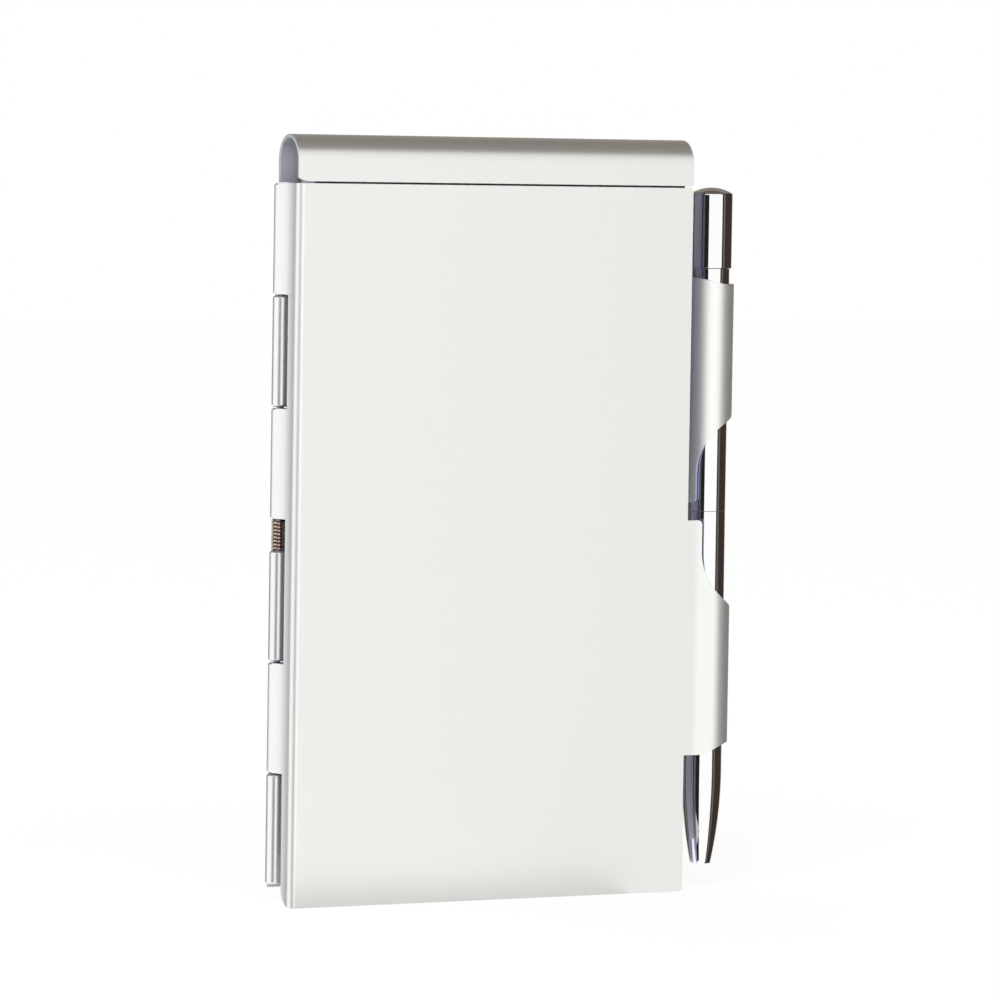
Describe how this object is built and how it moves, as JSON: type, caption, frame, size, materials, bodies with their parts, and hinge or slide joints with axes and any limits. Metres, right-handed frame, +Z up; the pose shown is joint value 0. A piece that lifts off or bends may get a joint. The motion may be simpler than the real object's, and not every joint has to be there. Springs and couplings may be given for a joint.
{
  "type": "pocket notepad case with pen",
  "caption": "Flip-open pocket notepad case of bent aluminium sheet, with a rolled top, a sprung barrel hinge, wrapped pen loops and a slim twist pen.",
  "frame": {"origin": "on the ground under the middle of the closed case, as it stands on the bottom edges of its sheets", "axes": "+Z up the case, +X towards the pen, +Y towards the back plate"},
  "size_m": [0.084, 0.009, 0.128],
  "materials": {
    "satin_aluminium": "fine satin, clear anodised",
    "hinge_steel": "drawn steel wire",
    "spring_wire": "oil-browned spring wire",
    "grey_board": "uncoated grey-brown board",
    "white_paper": "uncoated writing paper, cut edges",
    "binding_tape": "dark cloth-effect binding tape",
    "staple_wire": "galvanised wire",
    "pen_chrome": "polished chrome plate",
    "plug_steel": "turned steel",
    "ivory_plastic": "moulded, matte",
    "washer_nylon": "punched sheet, natural",
    "pen_brass": "turned, bright",
    "refill_steel": "drawn tube",
    "carbide": "polished ball"
  },
  "bodies": {
    "back": {"back_shell": "satin_aluminium", "hinge_pin": "hinge_steel", "hinge_spring": "spring_wire"},
    "cover": {"front_cover": "satin_aluminium"},
    "pad": {"pad_backing_board": "grey_board", "pad_sheets": "white_paper", "pad_binding_tape": "binding_tape", "pad_staples": "staple_wire"},
    "pen_lower": {"pen_lower_barrel": "pen_chrome", "pen_guide_tube": "ivory_plastic", "pen_seam_washer": "washer_nylon"},
    "pen_upper": {"pen_upper_barrel": "pen_chrome", "pen_cam_sleeve": "pen_brass", "pen_cap": "pen_chrome", "pen_cap_plug": "plug_steel"},
    "refill": {"refill_carrier": "ivory_plastic", "refill_tube": "refill_steel", "refill_point": "pen_brass", "refill_ball": "carbide"}
  },
  "joints": [
    {"name": "cover_hinge", "type": "hinge", "parent": "back", "child": "cover", "pos_m": [-0.0405, 0.00258, 0.06], "axis": [0, 0, -1], "range_deg": [0, 180]},
    {"name": "pad_slide", "type": "slide", "parent": "back", "child": "pad", "axis": [0, 0, -1], "range_m": [0, 0.0062]},
    {"name": "pen_slide", "type": "slide", "parent": "back", "child": "pen_lower", "axis": [0, 0, 1], "range_m": [0, 0.102]},
    {"name": "pen_twist", "type": "hinge", "parent": "pen_lower", "child": "pen_upper", "pos_m": [0.03775, -0.00022, 0.065], "axis": [0, 0, 1], "range_deg": [0, 180]},
    {"name": "refill_feed", "type": "slide", "parent": "pen_lower", "child": "refill", "axis": [0, 0, -1], "range_m": [0, 0.0035]}
  ],
  "couplings": [
    {"joint": "pen_twist", "follows": "refill_feed", "rad_per_m": 897.6}
  ]
}
